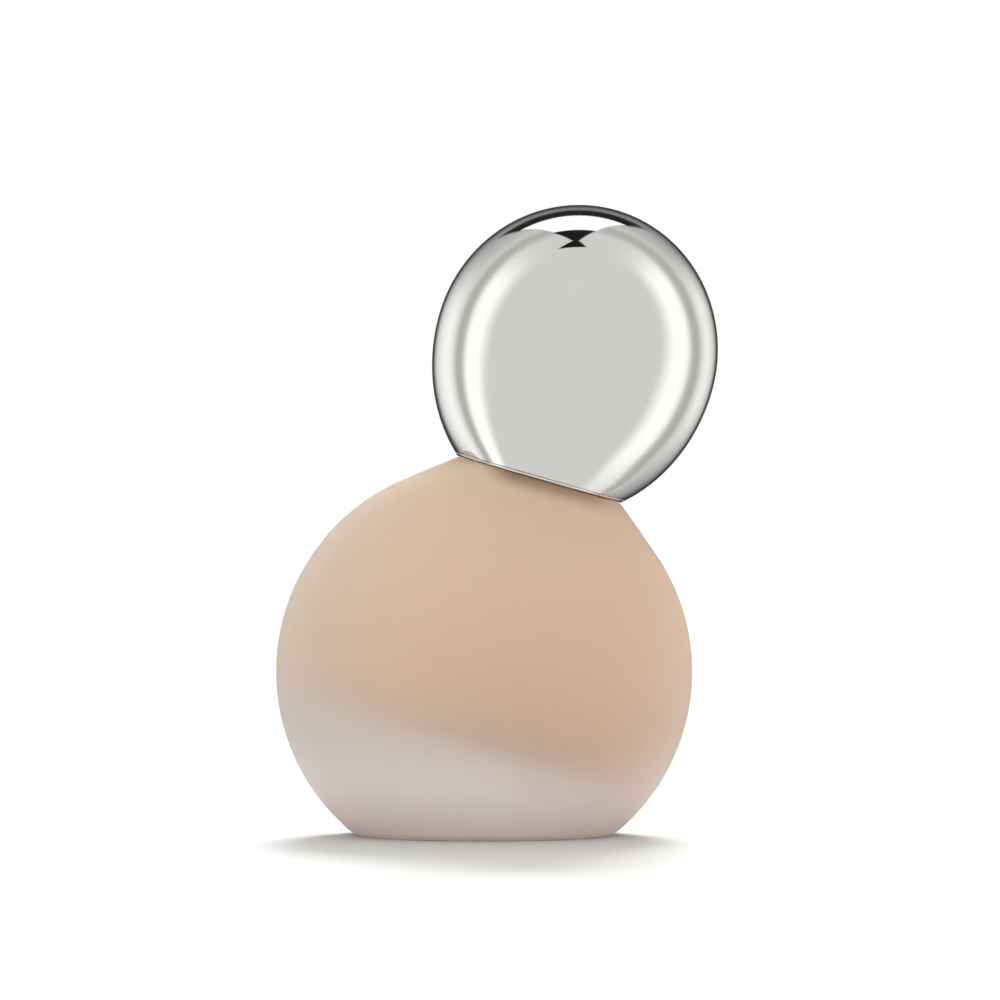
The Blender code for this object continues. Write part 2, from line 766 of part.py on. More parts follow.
clear_scene()
PARTS = new_collection("foundation_bottle")
HELPERS = new_collection("cutters")
MATERIALS = {name: make_material(name) for name in COLOURS}
make_all()
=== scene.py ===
"""Looks of the foundation bottle: fine surfaces, materials, the studio's light and the camera.

Lengths are in millimetres in the neck's own frame, whose Z is w, the height above the shoulder plane along
the leaning neck axis. Everything becomes metres in the row's frame when it is made into a mesh.
"""

import json
import math

import bmesh
import bpy
from mathutils import Matrix, Vector


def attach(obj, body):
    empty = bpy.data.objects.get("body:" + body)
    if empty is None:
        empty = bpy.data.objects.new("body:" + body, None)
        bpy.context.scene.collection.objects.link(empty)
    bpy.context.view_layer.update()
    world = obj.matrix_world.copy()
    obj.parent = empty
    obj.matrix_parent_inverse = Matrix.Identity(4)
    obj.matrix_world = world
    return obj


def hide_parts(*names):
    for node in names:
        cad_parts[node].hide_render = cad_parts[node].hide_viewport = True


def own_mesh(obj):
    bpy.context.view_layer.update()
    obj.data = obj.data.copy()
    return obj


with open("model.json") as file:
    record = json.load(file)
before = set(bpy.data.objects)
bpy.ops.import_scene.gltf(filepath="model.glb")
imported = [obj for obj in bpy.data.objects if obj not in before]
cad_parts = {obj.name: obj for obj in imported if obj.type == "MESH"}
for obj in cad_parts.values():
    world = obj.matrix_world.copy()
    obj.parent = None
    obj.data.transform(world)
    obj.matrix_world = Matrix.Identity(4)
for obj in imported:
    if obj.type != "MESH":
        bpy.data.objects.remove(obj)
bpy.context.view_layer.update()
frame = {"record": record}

MM = 0.001
RECORD = frame["record"]
TURN = next(j for j in RECORD["behaviour"]["joints"] if j["name"] == "collar_turn")
AXIS = Vector(TURN["axis"]).normalized()
SHOULDER = Vector(TURN["pos_m"]) / MM
LEAN = math.atan2(AXIS.x, AXIS.z)
ACROSS = Vector((math.cos(LEAN), 0, -math.sin(LEAN)))
NECK = Matrix.Translation(SHOULDER) @ Matrix.Rotation(LEAN, 4, "Y")
TAU = 2 * math.pi

# The glass pebble
JOIN_R = 13.3
SHOULDER_HALF_DEPTH = 12.2
BODY_R = 32.9
BODY_CENTRE_W = 31.5
BODY_CENTRE_Z = 25.8
BODY_HALF_DEPTH = 16.2
BASE_HALF_DEPTH = 12.6
BASE_FILLET = 1.0
CAVITY_R = 28.7
CAVITY_HALF_DEPTH = 11.6
CAVITY_FLOOR_W = -43.0
CAVITY_CORNER = 5.0
NECK_R = 7.85
NECK_BORE_R = 5.4
NECK_TOP_W = 9.4
THREAD_PITCH = 3.175
WETTING = 0.04  # how far the liquid reaches into the glass, so that no air gap shows

# The cap
CAP_HALF_WIDTH = 22.4
CAP_HALF_DEPTH = 14.2
CAP_CENTRE_W = 20.9
CAP_RISE = 23.4
CAP_FALL = 26.0
CAP_DEPTH_POWER = 2.8
CAP_WALL = 1.5
CAP_FOOT_W = 0.06
RING_TOP_W = 0.46
SEAM = 0.06


# ---------------------------------------------------------------- meshes


def mesh_object(name, points, faces, body, slot, nodes=(), sharp=35):
    """Makes a piece from points in the row frame, in millimetres, and says what it rides on and replaces."""
    mesh = bpy.data.meshes.new(name)
    mesh.from_pydata([Vector(p) * MM for p in points], [], faces)
    mesh.validate()
    mesh.shade_smooth()
    mesh.set_sharp_from_angle(angle=math.radians(sharp))
    obj = bpy.data.objects.new(name, mesh)
    bpy.context.scene.collection.objects.link(obj)
    mesh.materials.append(MATERIALS[slot])
    if body:
        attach(obj, body)
        if nodes:
            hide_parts(*nodes)
    return obj


def loft_faces(count, rings, wrap=False, fill=True):
    """Faces of a skin over rings of equally many points, with its outside to the right of their order."""
    faces = []
    pairs = [(k, k + 1) for k in range(rings - 1)]
    if wrap:
        pairs.append((rings - 1, 0))
    for low, high in pairs:
        for i in range(count):
            j = (i + 1) % count
            faces.append((low * count + i, low * count + j, high * count + j, high * count + i))
    if fill and not wrap:
        faces.append(tuple(reversed(range(count))))
        faces.append(tuple(range((rings - 1) * count, rings * count)))
    return faces


def in_neck(points):
    return [NECK @ Vector(p) for p in points]


def soften(profile, radius, closed=True, steps=3):
    """Rounds a profile's corners, each by a small arc no longer than a third of its shorter side."""
    out = []
    count = len(profile)
    for i, corner in enumerate(profile):
        if not closed and i in (0, count - 1):
            out.append(corner)
            continue
        corner = Vector(corner)
        before = Vector(profile[i - 1]) - corner
        after = Vector(profile[(i + 1) % count]) - corner
        reach = min(radius, before.length / 3, after.length / 3)
        straight = abs(before.normalized().cross(after.normalized()))
        if straight < 0.12:
            out.append(tuple(corner))
            continue
        start = corner + before.normalized() * reach
        end = corner + after.normalized() * reach
        for k in range(steps + 1):
            t = k / steps
            out.append(tuple(start * (1 - t) ** 2 + corner * 2 * t * (1 - t) + end * t**2))
    return out


def turned(name, profile, body, slot, nodes=(), radius=0.15, segments=96, place=NECK):
    """Turns a profile of (radius, w) about the neck axis. It runs down the outside and up the inside."""
    on_axis = profile[0][0] == 0 and profile[-1][0] == 0
    shape = soften(profile, radius, not on_axis)
    points = []
    for r, w in shape:
        for i in range(segments):
            a = TAU * i / segments
            points.append(place @ Vector((r * math.cos(a), r * math.sin(a), w)))
    rows = len(shape)
    faces = []
    for k in range(rows if not on_axis else rows - 1):
        low = (k + 1) % rows
        for i in range(segments):
            j = (i + 1) % segments
            faces.append((low * segments + i, low * segments + j, k * segments + j, k * segments + i))
    return mesh_object(name, points, faces, body, slot, nodes)


def merge_points(obj, distance=0.002):
    """Joins the points that a turned profile repeats where it meets the axis."""
    bm = bmesh.new()
    bm.from_mesh(obj.data)
    bmesh.ops.remove_doubles(bm, verts=bm.verts, dist=distance * MM)
    bm.to_mesh(obj.data)
    bm.free()


def boolean(obj, other, operation):
    modifier = obj.modifiers.new(operation.title(), "BOOLEAN")
    modifier.operation = operation
    modifier.solver = "EXACT"
    modifier.object = other


def settle(obj, helpers, sharp=35):
    """Keeps the result of an object's modifiers and removes the helper objects they used."""
    graph = bpy.context.evaluated_depsgraph_get()
    mesh = bpy.data.meshes.new_from_object(obj.evaluated_get(graph))
    obj.modifiers.clear()
    obj.data = mesh
    mesh.shade_smooth()
    mesh.set_sharp_from_angle(angle=math.radians(sharp))
    for helper in helpers:
        bpy.data.objects.remove(helper)


# ---------------------------------------------------------------- shapes of the pebbles


def body_half_width(below):
    corner = math.hypot(BODY_CENTRE_W, JOIN_R)
    touch = math.atan2(JOIN_R, BODY_CENTRE_W) + math.acos(BODY_R / corner)
    touch_depth = BODY_CENTRE_W - BODY_R * math.cos(touch)
    if below < touch_depth:
        return JOIN_R + (BODY_R * math.sin(touch) - JOIN_R) * below / touch_depth
    return math.sqrt(max(0.0, BODY_R**2 - (below - BODY_CENTRE_W) ** 2))


def inside_body(x, z):
    offset = Vector((x, 0, z)) - SHOULDER
    below = -offset.dot(AXIS)
    if below < 0:
        return abs(offset.dot(ACROSS)) < JOIN_R
    return abs(offset.dot(ACROSS)) < body_half_width(below)


def body_section(share):
    """Centre, direction across, half width and half depth of a section: 0 is the base, 1 the shoulder."""
    hinge = Vector((SHOULDER.x + SHOULDER.z / math.tan(LEAN), 0, 0))
    angle = LEAN * share
    along = Vector((-math.cos(angle), 0, math.sin(angle)))
    middle = (hinge - Vector((0, 0, BODY_CENTRE_Z))).length
    ends = []
    for outside in (middle - 2 * BODY_R, middle + 2 * BODY_R):
        inner = middle
        outer = outside
        for _ in range(40):
            tried = (inner + outer) / 2
            point = hinge + tried * along
            if inside_body(point.x, point.z):
                inner = tried
            else:
                outer = tried
        ends.append(inner)
    near, far = ends
    widest = 0.46
    if share < widest:
        fall = 1 - (BASE_HALF_DEPTH / BODY_HALF_DEPTH) ** 2
        offset = (widest - share) / widest
    else:
        fall = 1 - (SHOULDER_HALF_DEPTH / BODY_HALF_DEPTH) ** 2
        offset = (share - widest) / (1 - widest)
    half_depth = BODY_HALF_DEPTH * math.sqrt(1 - fall * offset**2)
    return hinge + (near + far) / 2 * along, -along, (far - near) / 2, half_depth


def oval(centre, across, half_width, half_depth, power=2.0, count=144):
    points = []
    for i in range(count):
        a = TAU * i / count
        c = math.cos(a)
        s = math.sin(a)
        x = half_width * math.copysign(abs(c) ** (2 / power), c)
        y = half_depth * math.copysign(abs(s) ** (2 / power), s)
        points.append(centre + x * across + Vector((0, y, 0)))
    return points


def cavity_section(w, grow=0.0):
    share = min(1.0, abs(w + BODY_CENTRE_W) / CAVITY_R)
    half_width = CAVITY_R * math.sqrt(1 - share**2)
    half_depth = CAVITY_HALF_DEPTH * math.sqrt(1 - share**3)
    above_floor = max(0.0, w - CAVITY_FLOOR_W)
    if above_floor < CAVITY_CORNER:
        inset = CAVITY_CORNER - math.sqrt(CAVITY_CORNER**2 - (CAVITY_CORNER - above_floor) ** 2)
        half_width -= inset
        half_depth -= inset
    return max(half_width, NECK_BORE_R) + grow, max(half_depth, NECK_BORE_R) + grow


def cavity_levels(top):
    """Levels from top down to the floor, close together where the cavity turns quickly."""
    levels = []
    count = 44
    for k in range(count + 1):
        t = k / count
        levels.append(top + (CAVITY_FLOOR_W - top) * (0.5 - 0.5 * math.cos(math.pi * t)))
    return levels


def cap_half_width(w, inset=0.0):
    rise = (CAP_RISE if w > CAP_CENTRE_W else CAP_FALL) - inset
    share = (w - CAP_CENTRE_W) / rise
    return (CAP_HALF_WIDTH - inset) * math.sqrt(max(0.0, 1 - share**2))


def cap_half_depth(w, inset=0.0):
    if w < CAP_CENTRE_W:
        share = 1 - w / CAP_CENTRE_W
        return CAP_HALF_DEPTH - (CAP_HALF_DEPTH - JOIN_R) * share**2 - inset
    share = min(1.0, (w - CAP_CENTRE_W) / (CAP_RISE - inset))
    return (CAP_HALF_DEPTH - inset) * math.sqrt(1 - share**CAP_DEPTH_POWER)


# ---------------------------------------------------------------- bottle and liquid


def make_bottle():
    """The glass as one closed skin: outside, neck, bore and the room for the liquid."""
    rings = []
    for step in range(7):
        angle = math.pi / 2 * step / 6
        level = BASE_FILLET * (1 - math.cos(angle))
        inset = BASE_FILLET * (1 - math.sin(angle))
        centre, across, half_width, half_depth = body_section(0)
        rise = math.sqrt(BODY_R**2 - (BODY_CENTRE_Z - level) ** 2) - math.sqrt(BODY_R**2 - BODY_CENTRE_Z**2)
        low = Vector((centre.x, 0, level))
        rings.append(oval(low, across, half_width + rise - inset, half_depth + rise * 0.6 - inset))
    steps = 54
    last = 0.994
    for k in range(1, steps + 1):
        share = 0.035 + (last - 0.035) * k / steps
        centre, across, half_width, half_depth = body_section(share)
        power = 2 + 0.18 * math.sin(math.pi * share)
        rings.append(oval(centre, across, half_width, half_depth, power))
    drop = (SHOULDER - centre).dot(AXIS)
    lip = 0.3
    for k in range(1, 7):
        t = k / 6
        from_side, from_edge, from_top = (1 - t) ** 2, 2 * t * (1 - t), t**2
        wide = half_width * from_side + JOIN_R * from_edge + (JOIN_R - lip) * from_top
        deep = half_depth * from_side + SHOULDER_HALF_DEPTH * from_edge
        deep += (SHOULDER_HALF_DEPTH - lip) * from_top
        rings.append(oval(SHOULDER - AXIS * drop * from_side, ACROSS, wide, deep))
    neck = [(NECK_R + 0.5, 0.0), (NECK_R + 0.15, 0.12), (NECK_R, 0.5), (NECK_R, 9.0), (NECK_R - 0.12, 9.28)]
    neck += [(NECK_R - 0.4, NECK_TOP_W), (NECK_BORE_R + 0.3, NECK_TOP_W)]
    neck += [(NECK_BORE_R + 0.08, 9.32), (NECK_BORE_R, 9.1)]
    for radius, w in neck:
        rings.append(oval(SHOULDER + w * AXIS, ACROSS, radius, radius))
    rings.append(oval(SHOULDER - 3.4 * AXIS, ACROSS, NECK_BORE_R, NECK_BORE_R))
    for w in cavity_levels(-4.6):
        rings.append(oval(SHOULDER + w * AXIS, ACROSS, *cavity_section(w)))
    points = [p for ring in rings for p in ring]
    faces = loft_faces(len(rings[0]), len(rings))
    return mesh_object("bottle_glass", points, faces, "bottle", "frosted_glass", ["glass_bottle"], 40)


def thread_ridge(name, wall_r, crest_r, root_width, crest_width, start_w, body, slot):
    """A right-handed ridge round the neck axis that fades out at both ends."""
    per_turn = 96
    turns = 1.1
    steps = round(per_turn * turns)
    fade = 12
    sunk_r = wall_r - math.copysign(0.1, crest_r - wall_r)
    points = []
    for i in range(steps + 1):
        a = TAU * i / per_turn
        w = start_w + THREAD_PITCH * i / per_turn
        full = math.sin(math.pi / 2 * min(1.0, (min(i, steps - i) + 0.4) / fade))
        top_r = wall_r + (crest_r - wall_r) * full
        root = root_width / 2 * (0.4 + 0.6 * full)
        crest = crest_width / 2 * (0.4 + 0.6 * full)
        corners = [(sunk_r, w - root), (top_r, w - crest), (top_r, w + crest), (sunk_r, w + root)]
        for r, h in soften(corners, 0.2):
            points.append(NECK @ Vector((r * math.cos(a), r * math.sin(a), h)))
    count = len(points) // (steps + 1)
    return mesh_object(name, points, loft_faces(count, steps + 1), body, slot)


def make_liquid():
    """The foundation: one closed body that fills the room up to the neck. The pump's lower end lies inside
    it, uncut.
    """
    count = 120
    rings = []
    for w in reversed(cavity_levels(-4.7)):
        rings.append(oval(SHOULDER + w * AXIS, ACROSS, *cavity_section(w, WETTING), count=count))
    points = [p for ring in rings for p in ring]
    faces = loft_faces(count, len(rings))
    merge_points(mesh_object("foundation_liquid", points, faces, "bottle", "foundation_peach"))


# ---------------------------------------------------------------- cap


def half_ring(w, inset, side, gap, count):
    """Half of an oval section, from +X round the front or the rear to -X, kept a gap away from the seam."""
    wide = cap_half_width(w, inset)
    deep = max(cap_half_depth(w, inset), 0.001)
    start = math.asin(min(1.0, gap / deep))
    points = []
    for i in range(count):
        a = start + (math.pi - 2 * start) * i / (count - 1)
        points.append((wide * math.cos(a), side * max(deep * math.sin(a), gap), w))
    return points


def cap_heights(inset):
    """Heights from the shells' foot to their top, close together at the top."""
    foot_turn = math.asin((RING_TOP_W + 0.04 - CAP_CENTRE_W) / CAP_FALL)
    top_turn = math.pi / 2 * 0.9995
    count = 110
    heights = []
    for k in range(count + 1):
        turn = foot_turn + (top_turn - foot_turn) * math.sin(math.pi / 2 * k / count)
        reach = CAP_FALL if turn < 0 else CAP_RISE - inset
        heights.append(CAP_CENTRE_W + reach * math.sin(turn))
    return heights


def make_cap_shell(name, side, node):
    """One half of the hollow pebble, with a wall and fine rounded edges along the seam."""
    count = 132
    edge = 0.05
    loops = []
    for outer_w, inner_w in zip(cap_heights(0), cap_heights(CAP_WALL)):
        outer = half_ring(outer_w, 0, side, SEAM + edge, count)
        inner = half_ring(inner_w, CAP_WALL, side, SEAM, count)
        right = (outer[0][0] - edge * 0.7, side * SEAM, outer_w)
        left = (outer[-1][0] + edge * 0.7, side * SEAM, outer_w)
        loop = [right] + outer + [left] + inner[::-1]
        loops.append(loop if side > 0 else loop[::-1])
    points = in_neck([p for loop in loops for p in loop])
    faces = loft_faces(len(loops[0]), len(loops))
    return mesh_object(name, points, faces, "cap", "mirror_silver", [node], 32)


def make_cap_ring():
    """The foot ring, whose edge is a fine half-round bead that stands just proud of the shells."""
    hole = 11.85
    bead_r = 0.19
    proud = 0.05
    profile = []
    for k in range(13):
        a = math.pi * (0.5 - k / 12)
        w = (CAP_FOOT_W + RING_TOP_W) / 2 + bead_r * math.sin(a)
        profile.append((proud - bead_r * (1 - math.cos(a)), w))
    rings = []
    for out, w in profile:
        wide = cap_half_width(w) + out
        rings.append(oval(Vector((0, 0, w)), Vector((1, 0, 0)), wide, cap_half_depth(w) + out))
    for r, w in ((hole + 0.1, CAP_FOOT_W), (hole, CAP_FOOT_W + 0.1), (hole, RING_TOP_W)):
        rings.append(oval(Vector((0, 0, w)), Vector((1, 0, 0)), r, r))
    rings.reverse()
    points = in_neck([p for ring in rings for p in ring])
    faces = loft_faces(len(rings[0]), len(rings), wrap=True)
    return mesh_object("cap_foot_ring", points, faces, "cap", "mirror_silver", ["cap_base_ring"], 30)


def make_cap_core():
    """The moulded cup and, each side of it, the web that locates the shells."""
    profile = [(0, 31.3), (10.3, 31.3), (11.7, 28.6), (11.7, 0.4), (11.25, 0.3), (10.95, 0.7), (10.95, 2.2)]
    profile += [(10.85, 2.5), (10.85, 3.1), (10.95, 3.4), (10.95, 28.4), (9.7, 30.2), (0, 30.2)]
    cup = turned("cap_cup", profile, "cap", "white_plastic", ["cap_core"], 0.25)
    merge_points(cup)
    thick = 0.6
    levels = [3.5 + 37.7 * k / 30 for k in range(31)]
    outer = [(cap_half_width(w, CAP_WALL + 0.6), w) for w in levels]
    for name, side in (("cap_web_right", 1), ("cap_web_left", -1)):
        line = [(side * x, w) for x, w in outer]
        core = [(side * (11.5 if w < 31 else 0.0), w) for w in levels]
        loops = []
        for (x, w), (x0, _) in zip(line, core):
            loop = [(x0, -thick, w), (x, -thick, w), (x, thick, w), (x0, thick, w)]
            loops.append(loop if side > 0 else loop[::-1])
        points = in_neck([p for loop in loops for p in loop])
        mesh_object(name, points, loft_faces(4, len(loops)), "cap", "white_plastic", ["cap_core"])


# ---------------------------------------------------------------- pump


def make_closure():
    profile = [(9.85, 13.7), (10.25, 13.3), (10.25, 0.9), (9.25, 0.9), (9.05, 1.1), (9.05, 12.6)]
    profile += [(6.1, 12.6), (6.1, 13.7)]
    turned("closure_ring", profile, "collar", "white_plastic", ["screw_closure"])
    start = 3.7 - THREAD_PITCH / 2 + 0.35
    thread_ridge("closure_thread", 9.05, 8.25, 1.2, 0.6, start, "collar", "white_plastic")
    profile = [(10.25, 14.2), (10.55, 14.08), (10.72, 13.8), (10.75, 13.4), (10.75, 1.0), (10.68, 0.75)]
    profile += [(10.5, 0.7), (10.4, 0.8), (10.4, 13.8), (6.3, 13.8), (6.3, 14.2)]
    turned("collar_sleeve", profile, "collar", "brushed_aluminium", ["collar_shell"], 0.12, 144)


def make_pump_body():
    profile = [(8.2, 10.4), (8.2, 9.5), (4.6, 9.5), (4.6, 10.4)]
    turned("gasket", profile, "pump", "gasket_foam", ["neck_gasket"])
    profile = [(8.2, 11.7), (8.2, 10.5), (4.3, 10.5), (4.3, -3.6), (3.0, -5.6), (3.0, -12.0), (2.0, -12.0)]
    profile += [(1.8, -11.6), (1.8, -7.5), (0.7, -7.5), (0.7, -6.4), (2.0, -5.1), (2.0, -2.6), (3.4, -2.6)]
    profile += [(3.4, 11.7)]
    turned("housing", profile, "pump", "natural_plastic", ["pump_housing"], 0.12)
    profile = [(5.6, 19.2), (5.9, 18.9), (5.9, 12.5), (7.6, 12.5), (7.6, 11.8), (3.3, 11.8), (3.3, 8.7)]
    profile += [(2.4, 8.7), (2.4, 12.5), (1.95, 12.5), (1.95, 13.7), (4.9, 13.7), (4.9, 19.2)]
    turned("turret", profile, "pump", "white_plastic", ["stem_guide"])
    ball_r = 1.2
    centre_w = -7.1 + ball_r * math.sqrt(2) + 0.07
    profile = []
    for k in range(25):
        a = math.pi * k / 24
        profile.append((ball_r * math.sin(a), centre_w + ball_r * math.cos(a)))
    profile[0] = (0, profile[0][1])
    profile[-1] = (0, profile[-1][1])
    ball = turned("valve_ball", profile, "ball", "clear_glass", ["check_ball"], 0.0, 48)
    merge_points(ball)


def tube_points(path, radius, around):
    """Rings of points round a path in the neck's X-Z plane, square to the way it runs."""
    rings = []
    for i, point in enumerate(path):
        ahead = (path[min(i + 1, len(path) - 1)] - path[max(i - 1, 0)]).normalized()
        side = ahead.cross(Vector((0, 1, 0))).normalized()
        other = ahead.cross(side)
        ring = []
        for k in range(around):
            a = TAU * k / around
            ring.append(point + radius * (math.cos(a) * side + math.sin(a) * other))
        rings.append(ring)
    return rings


def make_dip_tube():
    """A soft hollow tube from the housing to the low corner of the floor."""
    count = 60
    path = []
    for i in range(count + 1):
        share = i / count
        x = 7.5 * max(0.0, share - 0.15) ** 2 / 0.85**2
        path.append(Vector((x, 0, -7.8 - 33.2 * share)))
    around = 40
    outer = tube_points(path, 1.65, around)
    inner = tube_points(path, 1.15, around)
    rings = outer + inner[::-1]
    points = in_neck([p for ring in rings for p in ring])
    faces = loft_faces(around, len(rings), wrap=True)
    mesh_object("suction_tube", points, faces, "pump", "natural_plastic", ["dip_tube"])


def make_spring():
    """The coil, drawn at rest; the real one shortens as the button is pressed."""
    turns = 6
    per_turn = 40
    count = turns * per_turn + 1
    wire = 0.22
    low = -2.3 + wire
    high = 3.8 - wire
    half = per_turn // 2
    path = []
    for i in range(count):
        rise = min(max(i - half, 0), count - 1 - 2 * half) / (count - 1 - 2 * half)
        lift = 0.35 * (min(i, half) - half) / half + 0.35 * max(0, i - (count - 1 - half)) / half
        w = low + 0.35 + (high - low - 0.7) * rise + lift
        a = TAU * i / per_turn
        path.append(Vector((2.75 * math.cos(a), 2.75 * math.sin(a), w)))
    around = 14
    rings = []
    for i, point in enumerate(path):
        ahead = (path[min(i + 1, count - 1)] - path[max(i - 1, 0)]).normalized()
        out = Vector((point.x, point.y, 0)).normalized()
        other = ahead.cross(out).normalized()
        ring = []
        for k in range(around):
            a = TAU * k / around
            ring.append(point + wire * (math.cos(a) * out + math.sin(a) * other))
        rings.append(ring)
    points = in_neck([p for ring in rings for p in ring])
    faces = loft_faces(around, len(rings))
    spring = mesh_object("spring_coil", points, faces, "pump", "spring_steel", ["return_spring"])
    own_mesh(spring)


def make_seal_and_stem():
    lip = 3.32
    profile = [(lip, 8.3), (lip, 7.6), (lip - 0.45, 7.2), (lip - 0.45, 6.1), (lip, 5.7), (lip, 5.0)]
    profile += [(1.95, 5.0), (1.95, 8.3)]
    turned("sliding_seal", profile, "seal", "natural_plastic", ["piston"], 0.1)
    profile = [(0, 7.5), (0.8, 7.5), (0.8, 4.8), (3.0, 4.8), (3.0, 4.0), (1.6, 4.0), (1.6, 1.0)]
    profile += [(1.1, 0.5), (0, 0.5)]
    rod = turned("spring_rod", profile, "actuator", "natural_plastic", ["piston_rod"], 0.1)
    merge_points(rod)
    profile = [(1.8, 22.5), (1.8, 5.0), (0.95, 5.0), (0.95, 22.5)]
    turned("stem_tube", profile, "actuator", "natural_plastic", ["piston_stem"], 0.1, 64)


def cylinder(name, radius, start, end, segments=64):
    """A plain closed cylinder in the neck frame, used to cut or join."""
    start = Vector(start)
    end = Vector(end)
    turn = (end - start).to_track_quat("Z", "Y").to_matrix().to_4x4()
    place = NECK @ Matrix.Translation(start) @ turn
    length = (end - start).length
    points = []
    for w in (0, length):
        for i in range(segments):
            a = TAU * i / segments
            points.append(place @ Vector((radius * math.cos(a), radius * math.sin(a), w)))
    return mesh_object(name, points, loft_faces(segments, 2), None, "white_plastic")


def make_actuator():
    """The finger button with its dished top and spout, its metal sleeve and the nozzle."""
    top = 26.8
    nozzle_w = 24.6
    tip = -9.2
    dish = [(0, top - 0.9)]
    for k in range(1, 11):
        r = 5.6 * k / 10
        dish.append((r, top - 0.9 * (1 - (k / 10) ** 2)))
    profile = dish + [(6.3, top - 0.06), (6.72, top - 0.3), (6.9, top - 0.75), (6.9, 18.2), (6.3, 18.2)]
    profile += [(6.3, 23.1), (3.2, 23.1), (3.2, 17.6), (1.9, 17.6), (1.9, 22.8), (0, 22.8)]
    button = turned("finger_button", profile, "actuator", "white_plastic", ["actuator_button"], 0.12, 128)
    merge_points(button)
    spout = cylinder("spout_join", 1.7, (0, -5.6, nozzle_w), (0, tip, nozzle_w))
    riser = cylinder("riser_cut", 0.55, (0, 0, 22.0), (0, 0, nozzle_w + 0.2), 32)
    run = cylinder("run_cut", 0.7, (0, 0.6, nozzle_w), (0, tip - 1, nozzle_w), 32)
    mouth = cylinder("mouth_cut", 1.2, (0, tip + 1.6, nozzle_w), (0, tip - 1, nozzle_w))
    boolean(button, spout, "UNION")
    for cutter in (riser, run, mouth):
        boolean(button, cutter, "DIFFERENCE")
    settle(button, (spout, riser, run, mouth))

    profile = [(7.3, top - 0.8), (7.4, top - 0.95), (7.4, 18.1), (7.05, 18.1), (7.05, top - 0.8)]
    sleeve = turned("button_sleeve", profile, "actuator", "brushed_aluminium", ["actuator_sleeve"], 0.1, 144)
    window = cylinder("window_cut", 1.85, (0, -4, nozzle_w), (0, -9, nozzle_w))
    boolean(sleeve, window, "DIFFERENCE")
    settle(sleeve, (window,))

    place = NECK @ Matrix.Translation((0, tip, nozzle_w)) @ Matrix.Rotation(math.radians(90), 4, "X")
    profile = [(0.75, 0.25), (1.05, 0.0), (1.05, -1.4), (0.45, -1.4), (0.45, 0.25)]
    turned("nozzle_tip", profile, "actuator", "white_plastic", ["nozzle_insert"], 0.08, 48, place)


# ---------------------------------------------------------------- materials


def link(tree, source, target):
    tree.links.new(source, target)


def new_material(name, colour, roughness, metallic=0.0, **inputs):
    material = bpy.data.materials.new(name)
    material.use_nodes = True
    shader = material.node_tree.nodes["Principled BSDF"]
    shader.inputs["Base Color"].default_value = (*colour, 1)
    shader.inputs["Roughness"].default_value = roughness
    shader.inputs["Metallic"].default_value = metallic
    for key, value in inputs.items():
        shader.inputs[key.replace("_", " ")].default_value = value
    return material


def noise(tree, scale, detail=3.0, stretch=(1, 1, 1)):
    """A noise pattern fixed to the piece, in cycles per metre."""
    coords = tree.nodes.new("ShaderNodeTexCoord")
    mapping = tree.nodes.new("ShaderNodeMapping")
    mapping.inputs["Scale"].default_value = stretch
    mapping.inputs["Rotation"].default_value = (0, -LEAN, 0)
    texture = tree.nodes.new("ShaderNodeTexNoise")
    texture.inputs["Scale"].default_value = scale
    texture.inputs["Detail"].default_value = detail
    link(tree, coords.outputs["Object"], mapping.inputs["Vector"])
    link(tree, mapping.outputs["Vector"], texture.inputs["Vector"])
    return texture.outputs["Fac"]


def spread(tree, value, low, high):
    """Maps the middle of a noise's range to low..high."""
    node = tree.nodes.new("ShaderNodeMapRange")
    node.inputs["From Min"].default_value = 0.3
    node.inputs["From Max"].default_value = 0.7
    node.inputs["To Min"].default_value = low
    node.inputs["To Max"].default_value = high
    link(tree, value, node.inputs["Value"])
    return node.outputs["Result"]


def two_colours(tree, value, first, second):
    ramp = tree.nodes.new("ShaderNodeValToRGB")
    ramp.color_ramp.elements[0].position = 0.3
    ramp.color_ramp.elements[0].color = (*first, 1)
    ramp.color_ramp.elements[1].position = 0.7
    ramp.color_ramp.elements[1].color = (*second, 1)
    link(tree, value, ramp.inputs["Fac"])
    return ramp.outputs["Color"]


def bump(tree, value, distance, strength=1.0):
    node = tree.nodes.new("ShaderNodeBump")
    node.inputs["Distance"].default_value = distance
    node.inputs["Strength"].default_value = strength
    link(tree, value, node.inputs["Height"])
    return node.outputs["Normal"]


def finish_material(material, colour=None, roughness=None, normal=None):
    shader = material.node_tree.nodes["Principled BSDF"]
    for name, value in (("Base Color", colour), ("Roughness", roughness), ("Normal", normal)):
        if value is not None:
            link(material.node_tree, value, shader.inputs[name])


def mix_colours(tree, share, first, second):
    """first where share is 0, second where it is 1. Each is a colour or the output of a node."""
    node = tree.nodes.new("ShaderNodeMix")
    node.data_type = "RGBA"
    link(tree, share, node.inputs["Factor"])
    for socket, colour in (("A", first), ("B", second)):
        if isinstance(colour, tuple):
            node.inputs[socket].default_value = (*colour, 1)
        else:
            link(tree, colour, node.inputs[socket])
    return node.outputs["Result"]


def shoulder_distances(tree, sums):
    """A point's distances across and along the neck axis from the shoulder, and its height, in mm."""
    coords = tree.nodes.new("ShaderNodeTexCoord")
    split = tree.nodes.new("ShaderNodeSeparateXYZ")
    link(tree, coords.outputs["Object"], split.inputs["Vector"])
    x, _, z = split.outputs
    distances = []
    for way in (ACROSS, AXIS):
        part = sums.math("MULTIPLY_ADD", x, way.x / MM, -SHOULDER.dot(way))
        distances.append(sums.math("MULTIPLY_ADD", z, way.z / MM, part))
    return (*distances, sums.math("MULTIPLY", z, 1 / MM))


